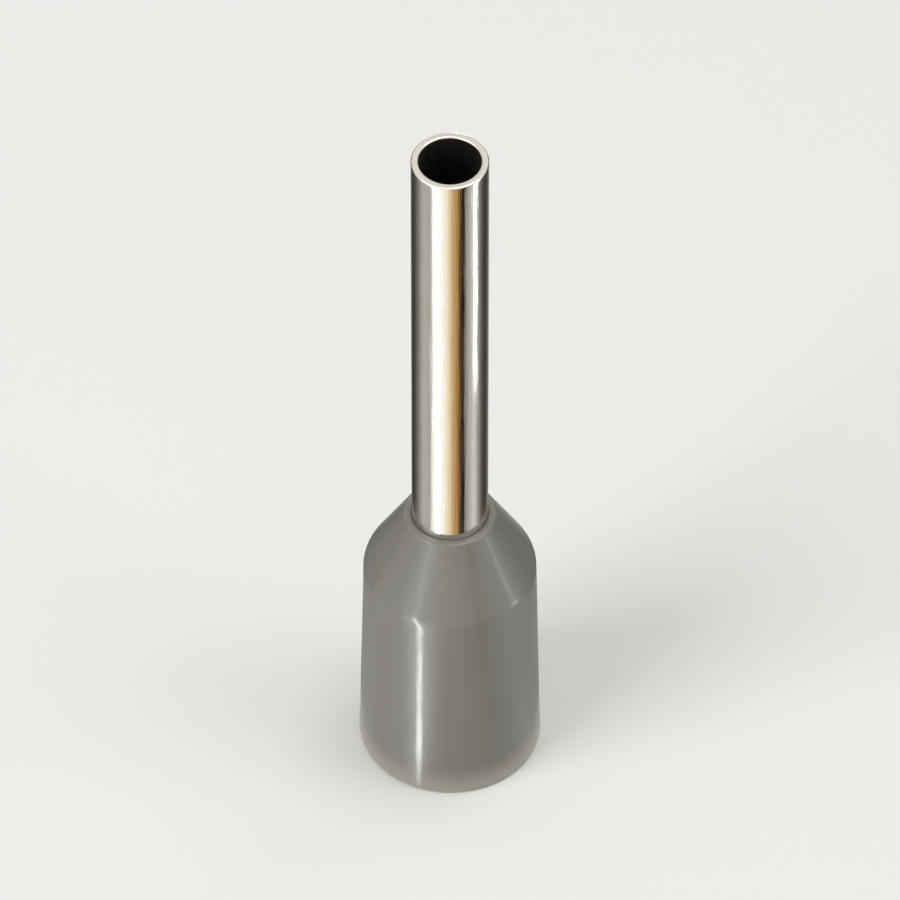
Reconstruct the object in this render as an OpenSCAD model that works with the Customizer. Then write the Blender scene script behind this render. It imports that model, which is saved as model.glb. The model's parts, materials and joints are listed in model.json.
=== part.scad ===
// Insulated wire ferrule for a 0.75 mm2 stranded conductor: a thin tinned copper tube whose
// inner end is belled, and a moulded plastic collar that is pressed on from the pin end until
// it seats on the bell. It stands on the mouth of its collar, with its pin up.
//
// Both pieces are turned about Z from one half section, drawn in the plane [radius, height].

/* [Tube] */
// Bore of the tube, which takes the stripped strands
tube_bore = 1.2; // [0.8:0.05:1.8]
// Wall of the drawn tube
tube_wall = 0.15; // [0.1:0.01:0.25]
// Length of pin that shows past the collar
pin_length = 10; // [6:0.5:18]
// Rounding of the two edges of the cut end
cut_edge = 0.04; // [0.01:0.01:0.04]

/* [Bell mouth of the tube] */
// Radius to which the tube's outside is belled, from the neck of the collar on
bell_radius = 3; // [2:0.25:4]
// Angle from the axis at which the bell ends, and at which the funnel of the collar goes on
bell_angle = 28; // [20:1:32]
// Straight length of the bell past its curve
bell_lip = 0.15; // [0.1:0.05:0.25]

/* [Collar] */
// Bore of the collar, which takes the wire with its insulation on
wire_bore = 2.8; // [2.6:0.1:4]
// Wall over that bore, at the shoulder
shoulder_wall = 0.3; // [0.25:0.05:0.6]
// Wall round the tube, at the neck
neck_wall = 0.14; // [0.1:0.01:0.25]
// Length of the cone from shoulder to neck
shoulder_length = 1.5; // [1:0.1:2]
// Length of the skirt, from mouth to shoulder
skirt_length = 4.9; // [3.8:0.1:8]
// Mould draft of the skirt's outside, which widens towards the mouth
draft_angle = 1.2; // [0:0.1:2]
// Rounding of the shoulder's edge
shoulder_round = 0.35; // [0.1:0.05:0.6]
// Rounding of the neck's outer edge
neck_edge = 0.05; // [0.02:0.01:0.05]

/* [Mouth of the collar] */
// Thickness of the lip at the mouth
lip_wall = 0.28; // [0.24:0.01:0.32]
// Depth of the tapered lead-in behind the lip
lead_in_depth = 0.8; // [0.4:0.1:1.2]
// Rounding of both edges of the lip
lip_round = 0.1; // [0.04:0.01:0.1]

/* [Fit] */
// Gap between tube and collar where the collar seats, on the radius
seat_gap = 0.005; // [0:0.005:0.03]

/* [Hidden] */
$fn = 96;
// Largest turn between two neighbouring points of a rounded corner, in degrees
ARC_STEP = 12;
COLLAR_COLOR = [0.55, 0.54, 0.50];
TUBE_COLOR = [0.80, 0.80, 0.79];

tube_r = tube_bore / 2 + tube_wall;
wire_r = wire_bore / 2;
neck_r = tube_r + seat_gap + neck_wall;
shoulder_r = wire_r + shoulder_wall;
mouth_r = shoulder_r + skirt_length * tan(draft_angle);
neck_at = skirt_length + shoulder_length;
pin_end = neck_at + pin_length;

// The bell is an arc about this centre, tangent to the tube at the neck of the collar
bell_centre = [tube_r + bell_radius, neck_at];
// Directions at the end of the arc: on along the wall of the bell, and square to it, inwards
bell_way = [sin(bell_angle), -cos(bell_angle)];
bell_in = [-cos(bell_angle), -sin(bell_angle)];
bell_end = bell_centre + bell_radius * bell_in;
bell_rim = bell_end + bell_lip * bell_way;
// The collar's seat follows the bell at the seat gap, and goes on as a funnel to the wire bore
seat_end = bell_end - seat_gap * bell_in;
funnel_end = seat_end[1] - (wire_r - seat_end[0]) / tan(bell_angle);
// Rounding where the funnel meets the wire bore
FUNNEL_ROUND = 0.2;
// Rounding of the rim of the bell
RIM_EDGE = tube_wall / 4;

function unit(v) = v / norm(v);
function cross_2d(a, b) = a[0] * b[1] - a[1] * b[0];
function reversed(list) = [for (i = [len(list) - 1 : -1 : 0]) list[i]];

// Points of an arc about a centre, from one angle to another
function arc(centre, r, from, to) =
    let (steps = max(1, ceil(abs(to - from) / ARC_STEP)))
    [for (i = [0 : steps]) let (a = from + (to - from) * i / steps) centre + r * [cos(a), sin(a)]];

// The corner between two neighbours, rounded to radius r by an arc that is tangent to both sides
function rounded_corner(before, corner, after, r) =
    let (
        u = unit(before - corner),
        w = unit(after - corner),
        half = acos(max(-1, min(1, u * w))) / 2,
        centre = corner + unit(u + w) * r / sin(half),
        start = corner + u * r / tan(half) - centre,
        from = atan2(start[1], start[0]),
        turn = (180 - 2 * half) * sign(cross_2d(corner - before, after - corner))
    )
    arc(centre, r, from, from + turn);

// A closed outline from its corners, each [radius, height, rounding]
function outline(corners) =
    let (count = len(corners))
    [for (i = [0 : count - 1])
        let (
            at = function(k) let (c = corners[(k + count) % count]) [c[0], c[1]],
            r = corners[i][2]
        )
        each (r > 0 ? rounded_corner(at(i - 1), at(i), at(i + 1), r) : [at(i)])];

// A corner of an outline from a point and the rounding there
function corner(p, r) = [p[0], p[1], r];
// The bell's curve at a distance from its centre, down from the neck, as corners with no rounding
function bell_curve(r) = [for (p = arc(bell_centre, r, 180, 180 + bell_angle)) corner(p, 0)];

tube_outline = outline(concat(
    [[tube_bore / 2, pin_end, cut_edge], [tube_r, pin_end, cut_edge]],
    bell_curve(bell_radius),
    [corner(bell_rim, RIM_EDGE), corner(bell_rim + tube_wall * bell_in, RIM_EDGE)],
    reversed(bell_curve(bell_radius + tube_wall))
));

collar_outline = outline(concat(
    [
        [neck_r, neck_at, neck_edge],
        [shoulder_r, skirt_length, shoulder_round],
        [mouth_r, 0, lip_round],
        [mouth_r - lip_wall, 0, lip_round],
        [wire_r, lead_in_depth, 0],
        [wire_r, funnel_end, FUNNEL_ROUND]
    ],
    reversed(bell_curve(bell_radius - seat_gap))
));

module tube() {
    color(TUBE_COLOR) rotate_extrude() polygon(tube_outline);
}

module collar() {
    color(COLLAR_COLOR) rotate_extrude() polygon(collar_outline);
}

collar();
tube();
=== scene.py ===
"""Insulated wire ferrule, dressed around its CAD frame: a moulded plastic collar on a tinned copper tube."""

import json
import math
from typing import NamedTuple

import bmesh
import bpy
from bpy.props import FloatProperty, FloatVectorProperty, IntProperty, PointerProperty
from mathutils import Matrix, Vector

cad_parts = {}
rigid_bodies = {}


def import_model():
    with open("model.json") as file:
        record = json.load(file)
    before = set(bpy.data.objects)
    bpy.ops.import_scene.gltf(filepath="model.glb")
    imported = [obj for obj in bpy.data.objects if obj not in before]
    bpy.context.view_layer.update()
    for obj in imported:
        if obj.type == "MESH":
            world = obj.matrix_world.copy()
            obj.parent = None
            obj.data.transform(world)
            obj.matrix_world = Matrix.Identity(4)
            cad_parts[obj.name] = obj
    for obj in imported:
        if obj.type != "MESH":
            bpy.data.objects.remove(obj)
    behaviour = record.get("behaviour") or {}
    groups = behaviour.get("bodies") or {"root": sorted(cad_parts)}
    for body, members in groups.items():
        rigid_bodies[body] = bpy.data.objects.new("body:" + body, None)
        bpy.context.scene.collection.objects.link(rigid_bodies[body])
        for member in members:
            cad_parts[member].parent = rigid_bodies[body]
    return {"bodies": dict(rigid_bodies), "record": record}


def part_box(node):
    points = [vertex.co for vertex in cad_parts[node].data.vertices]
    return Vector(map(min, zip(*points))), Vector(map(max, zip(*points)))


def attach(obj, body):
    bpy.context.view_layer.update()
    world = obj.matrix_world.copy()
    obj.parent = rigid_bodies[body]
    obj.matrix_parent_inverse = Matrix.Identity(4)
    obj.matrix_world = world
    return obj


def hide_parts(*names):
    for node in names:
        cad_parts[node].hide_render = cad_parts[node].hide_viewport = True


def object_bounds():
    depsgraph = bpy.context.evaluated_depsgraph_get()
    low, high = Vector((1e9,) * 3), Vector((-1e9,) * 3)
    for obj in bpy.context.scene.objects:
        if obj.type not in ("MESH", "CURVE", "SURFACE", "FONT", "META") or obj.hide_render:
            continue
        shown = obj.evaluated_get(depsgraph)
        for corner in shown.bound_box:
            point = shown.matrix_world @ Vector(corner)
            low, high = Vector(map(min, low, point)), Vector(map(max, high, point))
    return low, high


bl_info = {
    "name": "Wire ferrule",
    "version": (1, 0, 0),
    "blender": (4, 5, 0),
    "location": "View3D > Sidebar > Ferrule",
    "description": "Builds the collar, the tube and a small studio for an insulated wire ferrule",
    "category": "Add Mesh",
}

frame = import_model()
CAD_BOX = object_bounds()
BODY = next(iter(frame["bodies"]))
MM = 0.001
COLLAR_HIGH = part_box("collar")[1]
TUBE_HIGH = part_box("tube")[1]
BORES = {mount["name"]: mount["dims"]["r_mm"] * MM for mount in frame["record"]["mounts"]}
# Widest turn between two points of a rounded edge, and longest stretch between two rings of points
ARC_STEP = math.radians(7)
COLLAR_SPACING = 0.07 * MM
TUBE_SPACING = 0.12 * MM


def linear(code):
    """The linear colour of an sRGB hex code."""
    channels = [int(code[i : i + 2], 16) / 255 for i in (1, 3, 5)]
    return tuple(c / 12.92 if c <= 0.04045 else ((c + 0.055) / 1.055) ** 2.4 for c in channels)


def length(name, description, default):
    """A size in metres that a user can change."""
    return FloatProperty(
        name=name,
        description=description,
        default=default,
        min=0.0,
        precision=6,
        unit="LENGTH",
        subtype="DISTANCE",
    )


def colour(name, description, code):
    """A colour that a user can change."""
    return FloatVectorProperty(
        name=name, description=description, default=linear(code), size=3, min=0.0, max=1.0, subtype="COLOR"
    )


# ---------------------------------------------------------------- settings


class CollarSettings(bpy.types.PropertyGroup):
    """Sizes and colours of the collar"""

    mouth_radius: length("Mouth radius", "Outside of the collar at its mouth", COLLAR_HIGH.x)
    shoulder_radius: length("Shoulder radius", "Outside of the collar at its shoulder", 1.7 * MM)
    neck_radius: length("Neck radius", "Outside of the collar where it ends on the tube", 0.895 * MM)
    skirt_length: length("Skirt length", "From the mouth to the shoulder", 4.9 * MM)
    full_length: length("Full length", "From the mouth to the neck", COLLAR_HIGH.z)
    wire_radius: length("Wire bore radius", "Bore that takes the insulated wire", BORES["wire_entry"])
    lip_wall: length("Lip wall", "Thickness of the lip at the mouth", 0.28 * MM)
    lead_in_depth: length("Lead-in depth", "Depth of the taper behind the lip", 0.8 * MM)
    lead_in_round: length("Lead-in rounding", "Radius where the taper meets the wire bore", 0.3 * MM)
    funnel_round: length("Funnel rounding", "Radius where the wire bore meets the funnel", 0.2 * MM)
    shoulder_round: length("Shoulder rounding", "Radius of the shoulder's edge", 0.35 * MM)
    lip_round: length("Lip rounding", "Radius of the lip's two edges", 0.1 * MM)
    neck_edge: length("Neck edge", "Rounding of the neck's outer edge", 0.05 * MM)
    seat_gap: length("Seat gap", "Gap between the collar and the bell of the tube", 0.005 * MM)
    sink: length("Mould sink", "How far the cooled skirt departs from a true cone", 0.009 * MM)
    segments: IntProperty(name="Segments", description="Faces round the collar", default=240, min=24)
    plastic: colour("Plastic", "Warm grey polypropylene", "#807E77")
    # The next colour is painted light: the lip is painted paler, where light bleeds through its thin wall
    painted_lip_glow: colour("Painted lip glow", "The same plastic where light bleeds through the lip", "#A8A497")


class TubeSettings(bpy.types.PropertyGroup):
    """Sizes and colours of the tube"""

    pin_radius: length("Pin radius", "Outside of the tube", BORES["pin"])
    bore_radius: length("Bore radius", "Inside of the tube", BORES["conductor_bore"])
    pin_end: length("Pin end", "Height of the cut end", TUBE_HIGH.z)
    cut_edge: length("Cut edge", "Rounding of the cut end's two edges", 0.04 * MM)
    bell_radius: length("Bell radius", "Radius to which the inner end is belled", 3.0 * MM)
    bell_lip: length("Bell lip", "Straight length past the bell's curve", 0.15 * MM)
    bell_angle: FloatProperty(
        name="Bell angle",
        description="Angle from the axis at which the bell ends",
        default=math.radians(28),
        min=0.1,
        max=1.0,
        subtype="ANGLE",
    )
    die_line: length("Die line depth", "Depth of the lines that the drawing die leaves", 0.003 * MM)
    segments: IntProperty(name="Segments", description="Faces round the tube", default=180, min=24)
    tin: colour("Tin", "Bright electro-plated tin", "#DEDBD5")
    thin_tin: colour("Thin tin", "Tin where the copper under it warms it a little", "#D6CFC2")


class StudioSettings(bpy.types.PropertyGroup):
    """The camera's place, and the colour of floor and backdrop"""

    elevation: FloatProperty(
        name="Camera elevation",
        description="Angle of the camera above the floor",
        default=math.radians(48),
        subtype="ANGLE",
    )
    framing: length("Framing", "Width of the view at the ferrule", 17.5 * MM)
    lens: FloatProperty(name="Lens", description="Focal length in millimetres", default=500.0, min=50.0)
    board: colour("Board", "White board that the ferrule stands on", "#F4F3F1")


# ---------------------------------------------------------------- turned shapes


def arc(centre, start, turn):
    """Points of an arc about a centre, from a start vector through a turn."""
    steps = max(1, math.ceil(abs(turn) / ARC_STEP))
    return [centre + Matrix.Rotation(turn * i / steps, 2) @ start for i in range(steps + 1)]


def rounded(before, corner, after, radius):
    """A corner rounded by an arc that is tangent to both of its sides."""
    if radius == 0:
        return [corner]
    to_before = (before - corner).normalized()
    to_after = (after - corner).normalized()
    half = to_before.angle(to_after) / 2
    centre = corner + (to_before + to_after).normalized() * (radius / math.sin(half))
    start = corner + to_before * (radius / math.tan(half)) - centre
    end = corner + to_after * (radius / math.tan(half)) - centre
    turn = math.atan2(start.x * end.y - start.y * end.x, start.dot(end))
    return arc(centre, start, turn)


def closed_outline(corners, spacing):
    """A closed half section from corners (point, rounding), with its long sides divided at a spacing."""
    points = []
    for i, (corner, radius) in enumerate(corners):
        points += rounded(corners[i - 1][0], corner, corners[(i + 1) % len(corners)][0], radius)
    outline = []
    for point, following in zip(points, points[1:] + points[:1]):
        parts = max(1, math.ceil((following - point).length / spacing))
        outline += [point.lerp(following, i / parts) for i in range(parts)]
    return outline


def turned(name, outline, segments, relief, finishes, finish_of):
    """A closed turned body. relief(radius, height, angle) moves its skin outwards, and
    finish_of(radius, height) picks which of the finishes a place has."""
    shape = bmesh.new()
    rings = []
    for radius, height in outline:
        ring = []
        for i in range(segments):
            angle = math.tau * i / segments
            skin = radius + relief(radius, height, angle)
            ring.append(shape.verts.new((skin * math.cos(angle), skin * math.sin(angle), height)))
        rings.append(ring)
    for k, (ring, following) in enumerate(zip(rings, rings[1:] + rings[:1])):
        middle = (outline[k] + outline[(k + 1) % len(outline)]) / 2
        finish = finish_of(middle.x, middle.y)
        for i in range(segments):
            j = (i + 1) % segments
            face = shape.faces.new((ring[i], ring[j], following[j], following[i]))
            face.smooth = True
            face.material_index = finish
    bmesh.ops.recalc_face_normals(shape, faces=shape.faces)
    mesh = bpy.data.meshes.new(name)
    shape.to_mesh(mesh)
    shape.free()
    for material in finishes:
        mesh.materials.append(material)
    piece = bpy.data.objects.new(name, mesh)
    bpy.context.scene.collection.objects.link(piece)
    return piece


def smooth_step(value, low, high):
    """0 below low, 1 above high, and a smooth rise between."""
    t = min(max((value - low) / (high - low), 0.0), 1.0)
    return t * t * (3 - 2 * t)


# ---------------------------------------------------------------- finishes

# Inputs and output of a Mix node that mixes colours
MIX_A, MIX_B, MIX_RESULT = 6, 7, 2


def add_node(tree, kind, values=None, **options):
    """Adds a node with its options. values sets each input, or links it where the value is a socket."""
    node = tree.nodes.new(kind)
    for option, value in options.items():
        setattr(node, option, value)
    for key, value in (values or {}).items():
        if isinstance(value, bpy.types.NodeSocket):
            tree.links.new(value, node.inputs[key])
        else:
            node.inputs[key].default_value = value
    return node


def new_finish(name):
    """A named material with an empty tree."""
    material = bpy.data.materials.new(name)
    material.use_nodes = True
    material.node_tree.nodes.clear()
    return material, material.node_tree


def shade(rgb, factor):
    """A colour made darker or brighter by a factor, with an alpha of 1."""
    return (*(channel * factor for channel in rgb), 1.0)


def per_mm(size):
    """The scale of a pattern whose features are this many millimetres wide."""
    return 1 / (size * MM)


def moulded_polypropylene(settings):
    """Polypropylene, injection-moulded in a polished tool: a satin body under a thin glossy skin, with faint
    flow lines along the draw, and a wall so thin that light bleeds through it at the lip. That light is also
    painted into the colour, as a paler band at the lip."""
    material, tree = new_finish("Moulded polypropylene")
    place = add_node(tree, "ShaderNodeTexCoord").outputs["Object"]
    # Places as directions round the axis and a shortened height, so that the lines run on over the cone
    level = add_node(tree, "ShaderNodeVectorMath", {0: place, 1: (1.0, 1.0, 0.0)}, operation="MULTIPLY")
    outwards = add_node(tree, "ShaderNodeVectorMath", {0: level.outputs["Vector"]}, operation="NORMALIZE")
    girth = add_node(
        tree,
        "ShaderNodeVectorMath",
        {0: outwards.outputs["Vector"], "Scale": settings.shoulder_radius},
        operation="SCALE",
    )
    along = add_node(
        tree,
        "ShaderNodeVectorMath",
        {0: place, 1: (0.0, 0.0, 0.1), 2: girth.outputs["Vector"]},
        operation="MULTIPLY_ADD",
    ).outputs["Vector"]
    # Flow lines of the melt, about 0.3 mm apart and long in the draw
    flow = add_node(tree, "ShaderNodeTexNoise", {"Vector": along, "Scale": per_mm(0.3), "Detail": 4.0})
    streak = add_node(
        tree, "ShaderNodeMapRange", {"Value": flow.outputs["Fac"], "From Min": 0.33, "From Max": 0.67}
    )
    dark, light = shade(settings.plastic, 0.97), shade(settings.plastic, 1.03)
    streaked = add_node(
        tree, "ShaderNodeMix", {0: streak.outputs["Result"], MIX_A: dark, MIX_B: light}, data_type="RGBA"
    )
    # Painted light: the lip is painted paler over the depth of its taper, for light that bleeds through the
    # thin wall
    height = add_node(tree, "ShaderNodeSeparateXYZ", {"Vector": place}).outputs["Z"]
    thin = add_node(
        tree,
        "ShaderNodeMapRange",
        {"Value": height, "From Max": settings.lead_in_depth, "To Min": 0.85, "To Max": 0.0},
        interpolation_type="SMOOTHSTEP",
    )
    pale = shade(settings.painted_lip_glow, 1.0)
    body = add_node(
        tree,
        "ShaderNodeMix",
        {0: thin.outputs["Result"], MIX_A: streaked.outputs[MIX_RESULT], MIX_B: pale},
        data_type="RGBA",
    )
    # Tool polish: its marks are finer than 0.02 mm, and are drawn at 0.07 mm so that they show
    grain = add_node(tree, "ShaderNodeTexNoise", {"Vector": place, "Scale": per_mm(0.07), "Detail": 3.0})
    gloss = add_node(
        tree,
        "ShaderNodeMapRange",
        {"Value": flow.outputs["Fac"], "From Min": 0.3, "From Max": 0.7, "To Min": 0.36, "To Max": 0.46},
    )
    flow_relief = add_node(
        tree, "ShaderNodeBump", {"Height": flow.outputs["Fac"], "Strength": 0.35, "Distance": 0.008 * MM}
    )
    relief = add_node(
        tree,
        "ShaderNodeBump",
        {
            "Height": grain.outputs["Fac"],
            "Normal": flow_relief.outputs["Normal"],
            "Strength": 0.8,
            "Distance": 0.004 * MM,
        },
    )
    surface = add_node(
        tree,
        "ShaderNodeBsdfPrincipled",
        {
            "Base Color": body.outputs[MIX_RESULT],
            "Roughness": gloss.outputs["Result"],
            "IOR": 1.49,
            "Coat Weight": 0.5,
            "Coat Roughness": 0.12,
            "Coat IOR": 1.49,
            "Subsurface Weight": 0.22,
            "Subsurface Radius": (1.0, 0.86, 0.62),
            "Subsurface Scale": 0.35 * MM,
            "Normal": relief.outputs["Normal"],
            "Coat Normal": relief.outputs["Normal"],
        },
    )
    add_node(tree, "ShaderNodeOutputMaterial", {"Surface": surface.outputs["BSDF"]})
    return material


def tinned_copper(name, settings, painted_shade, polish, line_height):
    """Copper plated with bright tin. The fourth argument darkens the tin's colour as painted shade (1.0
    leaves it as it is), polish is its lowest and highest roughness, and line_height is the height in
    millimetres of the lines that the drawing die leaves along it."""
    material, tree = new_finish(name)
    place = add_node(tree, "ShaderNodeTexCoord").outputs["Object"]
    # Die lines run the whole length: about 0.03 mm apart round the tube, and 60 times as long
    along = add_node(tree, "ShaderNodeMapping", {"Vector": place, "Scale": (1.0, 1.0, 1 / 60)})
    lines = add_node(
        tree, "ShaderNodeTexNoise", {"Vector": along.outputs["Vector"], "Scale": per_mm(0.03), "Detail": 3.0}
    )
    # Plating bloom: soft clouds about 0.8 mm across, a little warmer where the tin is thin
    bloom = add_node(tree, "ShaderNodeTexNoise", {"Vector": place, "Scale": per_mm(0.8), "Detail": 3.0})
    # The tin's colours, darkened by the fourth argument: below 1 that darkening is painted shade, as in the
    # bore
    tin = add_node(
        tree,
        "ShaderNodeMix",
        {0: bloom.outputs["Fac"], MIX_A: shade(settings.tin, painted_shade), MIX_B: shade(settings.thin_tin, painted_shade)},
        data_type="RGBA",
    )
    low, high = polish
    gloss = add_node(
        tree,
        "ShaderNodeMapRange",
        {"Value": lines.outputs["Fac"], "From Min": 0.3, "From Max": 0.7, "To Min": low, "To Max": high},
    )
    relief = add_node(
        tree,
        "ShaderNodeBump",
        {"Height": lines.outputs["Fac"], "Strength": 0.5, "Distance": line_height * MM},
    )
    round_it = add_node(tree, "ShaderNodeTangent", direction_type="RADIAL", axis="Z")
    surface = add_node(
        tree,
        "ShaderNodeBsdfPrincipled",
        {
            "Base Color": tin.outputs[MIX_RESULT],
            "Metallic": 1.0,
            "Roughness": gloss.outputs["Result"],
            "Anisotropic": 0.4,
            "Tangent": round_it.outputs["Tangent"],
            "Normal": relief.outputs["Normal"],
        },
    )
    add_node(tree, "ShaderNodeOutputMaterial", {"Surface": surface.outputs["BSDF"]})
    return material


def seen_or_mirrored(tree):
    """1 for a ray that shows a thing to the camera, or in gloss or glass, and 0 for one that lights it."""
    path = add_node(tree, "ShaderNodeLightPath").outputs
    seen = path["Is Camera Ray"]
    for ray in ("Is Glossy Ray", "Is Transmission Ray"):
        seen = add_node(tree, "ShaderNodeMath", {0: seen, 1: path[ray]}, operation="MAXIMUM").outputs[0]
    return seen


# Distances from the ferrule at which the floor begins to fade into the backdrop, and is all backdrop
FADE_START = 25 * MM
FADE_END = 140 * MM


def matt_board(settings):
    """Board coated matt white: even and pale, with no gloss. Away from the ferrule it fades into the
    backdrop."""
    material, tree = new_finish("Matt white board")
    place = add_node(tree, "ShaderNodeTexCoord").outputs["Object"]
    away = add_node(tree, "ShaderNodeVectorMath", {0: place}, operation="LENGTH").outputs["Value"]
    fade = add_node(
        tree,
        "ShaderNodeMapRange",
        {"Value": away, "From Min": FADE_START, "From Max": FADE_END, "To Max": seen_or_mirrored(tree)},
        interpolation_type="SMOOTHSTEP",
    )
    board = add_node(
        tree,
        "ShaderNodeBsdfPrincipled",
        {"Base Color": shade(settings.board, 1.0), "Roughness": 0.9, "Specular IOR Level": 0.0},
    )
    backdrop = add_node(tree, "ShaderNodeEmission", {"Color": shade(settings.board, 1.0), "Strength": 1.0})
    surface = add_node(
        tree,
        "ShaderNodeMixShader",
        {0: fade.outputs["Result"], 1: board.outputs["BSDF"], 2: backdrop.outputs["Emission"]},
    )
    add_node(tree, "ShaderNodeOutputMaterial", {"Surface": surface.outputs["Shader"]})
    return material


# ---------------------------------------------------------------- pieces


def bell(tube, neck_height):
    """Centre of the bell's curve, and the directions from there to its end and on along the wall there."""
    centre = Vector((tube.pin_radius + tube.bell_radius, neck_height))
    inwards = Vector((-math.cos(tube.bell_angle), -math.sin(tube.bell_angle)))
    onwards = Vector((math.sin(tube.bell_angle), -math.cos(tube.bell_angle)))
    return centre, inwards, onwards


def collar_outline(s):
    """Half section of the collar, round from the neck to the mouth, and back up the bore and the seat."""
    tube = bpy.context.scene.ferrule_tube
    centre, inwards, _ = bell(tube, s.full_length)
    seat_radius = tube.bell_radius - s.seat_gap
    seat_end = centre + inwards * seat_radius
    funnel_end = seat_end.y - (s.wire_radius - seat_end.x) / math.tan(tube.bell_angle)
    seat = arc(centre, Vector((-seat_radius, 0.0)), tube.bell_angle)
    corners = [
        (Vector((s.neck_radius, s.full_length)), s.neck_edge),
        (Vector((s.shoulder_radius, s.skirt_length)), s.shoulder_round),
        (Vector((s.mouth_radius, 0.0)), s.lip_round),
        (Vector((s.mouth_radius - s.lip_wall, 0.0)), s.lip_round),
        (Vector((s.wire_radius, s.lead_in_depth)), s.lead_in_round),
        (Vector((s.wire_radius, funnel_end)), s.funnel_round),
    ]
    corners += [(point, 0.0) for point in reversed(seat)]
    return closed_outline(corners, COLLAR_SPACING)


class Wave(NamedTuple):
    """A wave in a turned skin: its count round the girth, its share of the depth, and its phase at the
    foot and twist up to the top, both in radians."""

    count: int
    share: float
    phase: float
    twist: float


SKIRT_SWELLS = [Wave(2, 1.0, 0.0, 1.3), Wave(3, 0.6, 1.0, -7.0), Wave(4, 0.4, 2.0, 15.0)]
DIE_LINES = [
    Wave(7, 1.0, 0.4, 1.0),
    Wave(13, 0.8, 2.2, 1.0),
    Wave(22, 0.5, 4.0, 1.0),
    Wave(37, 0.35, 1.1, 1.0),
]


def ripple(waves, angle, rise):
    """Waves added up, from -1 in a hollow to 0 on a crest. rise is 0 at the foot and 1 at the top."""
    total = sum(wave.share * math.sin(wave.count * angle + wave.phase + wave.twist * rise) for wave in waves)
    return (total / sum(wave.share for wave in waves) - 1) / 2


def skirt_relief(s):
    """How the cooled skirt departs from a true cone: long swells that fade out at both ends."""

    def relief(radius, height, angle):
        inner_skin = radius < s.shoulder_radius - s.shoulder_round / 2
        if inner_skin or height > s.skirt_length:
            return 0.0
        fade = smooth_step(height, 0.0, s.lead_in_depth)
        fade *= 1 - smooth_step(height, s.skirt_length - s.lead_in_depth, s.skirt_length)
        return s.sink * fade * ripple(SKIRT_SWELLS, angle, height / s.skirt_length)

    return relief


def tube_outline(s):
    """Half section of the tube, down its outside from the cut end to the rim of the bell, and back up."""
    wall = s.pin_radius - s.bore_radius
    centre, inwards, onwards = bell(s, bpy.context.scene.ferrule_collar.full_length)
    rim = centre + inwards * s.bell_radius + onwards * s.bell_lip
    outside = arc(centre, Vector((-s.bell_radius, 0.0)), s.bell_angle)
    inside = arc(centre, Vector((-s.bell_radius - wall, 0.0)), s.bell_angle)
    corners = [
        (Vector((s.bore_radius, s.pin_end)), s.cut_edge),
        (Vector((s.pin_radius, s.pin_end)), s.cut_edge),
        *[(point, 0.0) for point in outside],
        (rim, wall / 4),
        (rim + inwards * wall, wall / 4),
        *[(point, 0.0) for point in reversed(inside)],
    ]
    return closed_outline(corners, TUBE_SPACING)


def die_lines(s, pin_foot):
    """Lines that the drawing die leaves: the pin's skin falls a few micrometres here and there round it."""

    def relief(radius, height, angle):
        outside = radius > (s.pin_radius + s.bore_radius) / 2 and height > pin_foot
        if not outside:
            return 0.0
        return s.die_line * ripple(DIE_LINES, angle, (height - pin_foot) / (s.pin_end - pin_foot))

    return relief


class FERRULE_OT_collar(bpy.types.Operator):
    """Moulded collar: skirt, cone shoulder, neck, lip, and the bore that narrows to the tube"""

    bl_idname = "ferrule.collar"
    bl_label = "Moulded collar"

    def execute(self, context):
        s = context.scene.ferrule_collar
        piece = turned(
            "moulded_collar",
            collar_outline(s),
            s.segments,
            skirt_relief(s),
            [moulded_polypropylene(s)],
            lambda radius, height: 0,
        )
        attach(piece, BODY)
        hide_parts("collar")
        return {"FINISHED"}


class FERRULE_OT_tube(bpy.types.Operator):
    """Drawn tube: pin with die lines, sheared end, open bore, and the bell that holds the collar"""

    bl_idname = "ferrule.tube"
    bl_label = "Drawn tube"

    def execute(self, context):
        s = context.scene.ferrule_tube
        pin_foot = context.scene.ferrule_collar.full_length
        skin, bore, sheared = range(3)

        def finish_of(radius, height):
            if height > s.pin_end - s.cut_edge / 2:
                return sheared
            inside = radius < (s.pin_radius + s.bore_radius) / 2 and height > pin_foot
            return bore if inside else skin

        finishes = [
            tinned_copper("Bright tin on drawn copper", s, 1.0, (0.08, 0.16), 0.005),
            # In the bore the tin is thin and dull, because little current reaches it in the bath, so it is
            # rougher. Its colour is also darkened to about a third, as painted shade of the deep, narrow hole
            tinned_copper("Dull tin, painted dark as shade, in the bore", s, 0.35, (0.35, 0.5), 0.003),
            # The shear leaves the end finely scored, so it scatters more light than the skin
            tinned_copper("Tin on the sheared end", s, 1.0, (0.25, 0.4), 0.002),
        ]
        relief = die_lines(s, pin_foot)
        piece = turned("drawn_tube", tube_outline(s), s.segments, relief, finishes, finish_of)
        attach(piece, BODY)
        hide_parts("tube")
        return {"FINISHED"}


# ---------------------------------------------------------------- studio

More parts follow.
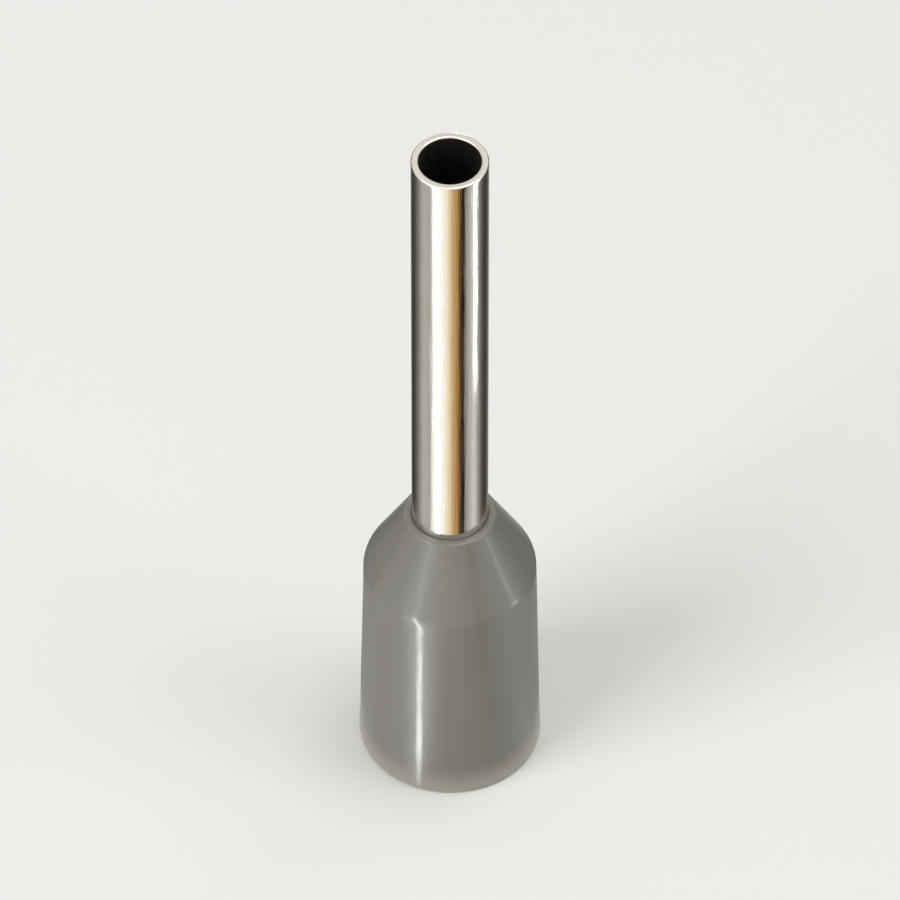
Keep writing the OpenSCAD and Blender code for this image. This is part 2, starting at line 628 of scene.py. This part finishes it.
# Reflection card: what bright tin mirrors of a studio, as angle in degrees from +X, colour and strength.
# It lies round the ferrule, because an upright tube seen from above mirrors what is low around it, and
# it rises at its far edge. Two stops that are close together make a hard edge
CARD_STOPS = [
    (90, "#E4E2DD", 0.95),
    (106, "#D2D0CB", 0.80),
    (116, "#7A7772", 0.45),
    (140, "#5E5C58", 0.40),
    (160, "#9B9A96", 0.60),
    (190, "#CFCECB", 1.00),
    (212, "#C4C3C0", 0.90),
    (216, "#FFFFFF", 1.25),
    (250, "#FFFFFF", 1.30),
    (262, "#FFF1D6", 1.20),
    (276, "#EBCB96", 1.00),
    (292, "#CC9C5C", 0.85),
    (300, "#6B4A2C", 0.50),
    (305, "#17130F", 0.30),
    (311, "#1C1A18", 0.30),
    (316, "#CBCAC8", 0.75),
    (345, "#F1F0EE", 1.00),
    (362, "#B4B2AE", 0.65),
    (384, "#5E5C58", 0.40),
    (410, "#7A7772", 0.45),
    (430, "#C9C5BC", 0.80),
    (450, "#E4E2DD", 0.95),
]
# Widest step in degrees between two spokes of the card
CARD_STEP = 6
CARD_REACH = 400 * MM
CARD_RISE = 120 * MM
# Close round the collar the card is nearly even, up to the first of these distances from the axis,
# because the satin skirt shows no hard bands. From the second on its stops glow in full, for the pin
CARD_EVEN = 5.2 * MM
CARD_FULL = 6.6 * MM
EVEN_TONE = "#B3B1AB"
EVEN_SHARE = 0.75
# Width of a strip lamp's line, as an angle round the skirt
LINE_WIDTH = math.radians(2.4)
# Length over which a strip lamp glows up from its start
SOFT_START = 1.2 * MM


class Strip(NamedTuple):
    """A strip lamp that lies on the card, which the gloss mirrors as one thin bright line. From the side
    (in degrees) the line stands upright, at a place (in degrees) round the skirt. The strip lies from
    start to end, as distances from the skirt, and rises at its end."""

    name: str
    side: float
    place: float
    strength: float
    start: float
    end: float
    rise: float


STRIPS = [
    Strip("strip_front", 270, -20, 20.0, 0.0, 395 * MM, 20 * MM),
    Strip("strip_right", 0, -6, 7.0, 8 * MM, 100 * MM, 0.0),
    Strip("strip_back", 115, -15, 12.0, 8 * MM, 100 * MM, 0.0),
]


def at_angle(distance, degrees, height=0.0):
    """A point at a distance from the axis, its angle in degrees from +X."""
    angle = math.radians(degrees)
    return Vector((distance * math.cos(angle), distance * math.sin(angle), height))


def glowing_card():
    """Card that glows of itself, as brightly as the colour attribute of its mesh says."""
    material, tree = new_finish("Glowing card")
    glow = add_node(tree, "ShaderNodeAttribute", attribute_name="glow")
    light = add_node(tree, "ShaderNodeEmission", {"Color": glow.outputs["Color"], "Strength": 1.0})
    add_node(tree, "ShaderNodeOutputMaterial", {"Surface": light.outputs["Emission"]})
    return material


def reflected_only(name, corners, faces, glows, material):
    """A stage mesh that nothing but a glossy ray sees. Each of its corners glows in its own colour, and
    the colours blend between them."""
    mesh = bpy.data.meshes.new(name)
    mesh.from_pydata(corners, [], faces)
    mesh.materials.append(material)
    attribute = mesh.color_attributes.new("glow", "FLOAT_COLOR", "POINT")
    for i, glow in enumerate(glows):
        attribute.data[i].color = glow
    card = bpy.data.objects.new(name, mesh)
    for ray in ("camera", "diffuse", "transmission", "volume_scatter", "shadow"):
        setattr(card, f"visible_{ray}", False)
    bpy.context.scene.collection.objects.link(card)


def reflection_card(material):
    """Lays a ring card round the ferrule, whose glow blends from stop to stop."""
    angles = [stop[0] for stop in CARD_STOPS]
    glow = [shade(linear(code), strength) for _, code, strength in CARD_STOPS]
    even = shade(linear(EVEN_TONE), 1.0)
    low = 0.02 * MM
    # Reach, height and share of the even tone of each ring of corners
    rings = [
        (COLLAR_HIGH.x * 1.2, low, EVEN_SHARE),
        (CARD_EVEN, low, EVEN_SHARE),
        (CARD_FULL, low, 0.0),
        (CARD_REACH, low, 0.0),
        (CARD_REACH, CARD_RISE, 0.0),
    ]
    corners, faces, glows = [], [], []
    for i in range(len(angles) - 1):
        steps = math.ceil((angles[i + 1] - angles[i]) / CARD_STEP)
        for k in range(steps):
            angle = angles[i] + (angles[i + 1] - angles[i]) * k / steps
            own = [a + (b - a) * k / steps for a, b in zip(glow[i], glow[i + 1])]
            for reach, height, share in rings:
                corners.append(at_angle(reach, angle, height))
                glows.append([a + (b - a) * share for a, b in zip(own, even)])
    count = len(rings)
    for i in range(0, len(corners), count):
        j = (i + count) % len(corners)
        faces += [(i + r, i + r + 1, j + r + 1, j + r) for r in range(count - 1)]
    reflected_only("reflection_card", corners, faces, glows, material)


def strip_lamp(strip, material):
    """Lays a strip lamp. It starts under the foot of its line and runs off at twice the line's angle,
    it widens so that the line stays as wide all the way up, and it glows up softly from its start."""
    direction = strip.side + 2 * strip.place
    foot = at_angle(COLLAR_HIGH.x, strip.side + strip.place, 0.04 * MM)
    way, across = at_angle(1.0, direction), at_angle(1.0, direction + 90)
    # Distance from the foot, height and strength of each row of corners
    rows = [
        (strip.start, 0.0, 0.0),
        (strip.start + SOFT_START, 0.0, strip.strength),
        (strip.end, 0.0, strip.strength),
    ]
    if strip.rise:
        rows.append((strip.end, strip.rise, strip.strength))
    corners, glows = [], []
    for reach, rise, strength in rows:
        half = LINE_WIDTH / 2 * (COLLAR_HIGH.x + 2 * reach)
        middle = foot + way * reach + Vector((0.0, 0.0, rise))
        corners += [middle - across * half, middle + across * half]
        glows += [(strength, strength, strength, 1.0)] * 2
    faces = [(2 * i, 2 * i + 2, 2 * i + 3, 2 * i + 1) for i in range(len(rows) - 1)]
    reflected_only(strip.name, corners, faces, glows, material)


class Softbox(NamedTuple):
    """A square softbox that faces the ferrule from a side and an elevation, both in degrees."""

    name: str
    side: float
    elevation: float
    distance: float
    size: float
    power: float


SOFTBOXES = [
    Softbox("key", 212, 38, 0.30, 0.16, 0.40),
    Softbox("fill", -15, 38, 0.34, 0.20, 0.15),
    Softbox("top", 20, 80, 0.32, 0.14, 0.28),
]


def look_from(thing, away, distance, target):
    """Puts a lamp or camera at a distance from its target, in the direction away, and turns it back there."""
    thing.location = target + away * distance
    thing.rotation_euler = away.to_track_quat("Z", "Y").to_euler()
    bpy.context.scene.collection.objects.link(thing)


def soft_lamp(box):
    """Sets up a softbox."""
    lamp = bpy.data.lights.new(box.name, "AREA")
    lamp.shape = "SQUARE"
    lamp.size = box.size
    lamp.energy = box.power
    elevation = math.radians(box.elevation)
    away = at_angle(math.cos(elevation), box.side, math.sin(elevation))
    middle = Vector((0.0, 0.0, TUBE_HIGH.z / 2))
    look_from(bpy.data.objects.new(box.name, lamp), away, box.distance, middle)


# Strength of the surroundings as light on the ferrule. Seen or mirrored, their strength is 1
AMBIENT_LIGHT = 0.42


def pale_surroundings(settings):
    """World: soft light on the ferrule, and the pale backdrop itself where it is seen or mirrored."""
    world = bpy.data.worlds.new("Pale surroundings")
    world.use_nodes = True
    tree = world.node_tree
    tree.nodes.clear()
    strength = add_node(
        tree, "ShaderNodeMapRange", {"Value": seen_or_mirrored(tree), "To Min": AMBIENT_LIGHT, "To Max": 1.0}
    )
    sky = add_node(
        tree,
        "ShaderNodeBackground",
        {"Color": shade(settings.board, 1.0), "Strength": strength.outputs["Result"]},
    )
    add_node(tree, "ShaderNodeOutputWorld", {"Surface": sky.outputs["Background"]})
    bpy.context.scene.world = world


# Side of the square floor in metres
FLOOR_SIZE = 3.0


def pale_floor(settings):
    """The board that the ferrule stands on."""
    half = FLOOR_SIZE / 2
    mesh = bpy.data.meshes.new("floor")
    corners = [(-half, -half, 0), (half, -half, 0), (half, half, 0), (-half, half, 0)]
    mesh.from_pydata(corners, [], [(0, 1, 2, 3)])
    mesh.materials.append(matt_board(settings))
    floor = bpy.data.objects.new("floor", mesh)
    bpy.context.scene.collection.objects.link(floor)


def camera_in_front(settings):
    """A long lens at the camera's elevation, aimed at the middle of the ferrule."""
    camera = bpy.data.cameras.new("camera")
    camera.lens = settings.lens
    camera.clip_start, camera.clip_end = 1 * MM, 10.0
    eye = bpy.data.objects.new("camera", camera)
    low, high = CAD_BOX
    away = Vector((0.0, -math.cos(settings.elevation), math.sin(settings.elevation)))
    distance = settings.framing * settings.lens / camera.sensor_width
    look_from(eye, away, distance, (Vector(low) + Vector(high)) / 2)
    bpy.context.scene.camera = eye


class FERRULE_OT_studio(bpy.types.Operator):
    """Pale floor, soft light, the reflection card with its strips, and the camera"""

    bl_idname = "ferrule.studio"
    bl_label = "Studio"

    def execute(self, context):
        settings = context.scene.ferrule_studio
        pale_floor(settings)
        card = glowing_card()
        reflection_card(card)
        for strip in STRIPS:
            strip_lamp(strip, card)
        for box in SOFTBOXES:
            soft_lamp(box)
        pale_surroundings(settings)
        camera_in_front(settings)
        context.scene.view_settings.view_transform = "Standard"
        return {"FINISHED"}


class FERRULE_PT_panel(bpy.types.Panel):
    """Builds the ferrule's pieces and its studio"""

    bl_idname = "FERRULE_PT_panel"
    bl_label = "Wire ferrule"
    bl_space_type = "VIEW_3D"
    bl_region_type = "UI"
    bl_category = "Ferrule"

    def draw(self, context):
        for piece in ("collar", "tube", "studio"):
            settings = getattr(context.scene, f"ferrule_{piece}")
            box = self.layout.box()
            for name in settings.__annotations__:
                box.prop(settings, name)
            box.operator(f"ferrule.{piece}")


SETTINGS = {
    "ferrule_collar": CollarSettings,
    "ferrule_tube": TubeSettings,
    "ferrule_studio": StudioSettings,
}
OPERATORS = (FERRULE_OT_collar, FERRULE_OT_tube, FERRULE_OT_studio)


def register():
    for group in (*SETTINGS.values(), *OPERATORS, FERRULE_PT_panel):
        bpy.utils.register_class(group)
    for name, group in SETTINGS.items():
        setattr(bpy.types.Scene, name, PointerProperty(type=group))


def unregister():
    for name in SETTINGS:
        delattr(bpy.types.Scene, name)
    for group in reversed((*SETTINGS.values(), *OPERATORS, FERRULE_PT_panel)):
        bpy.utils.unregister_class(group)


def main():
    """Registers the add-on, and builds the pieces and the studio."""
    register()
    bpy.ops.ferrule.collar()
    bpy.ops.ferrule.tube()
    bpy.ops.ferrule.studio()


if __name__ == "__main__":
    main()
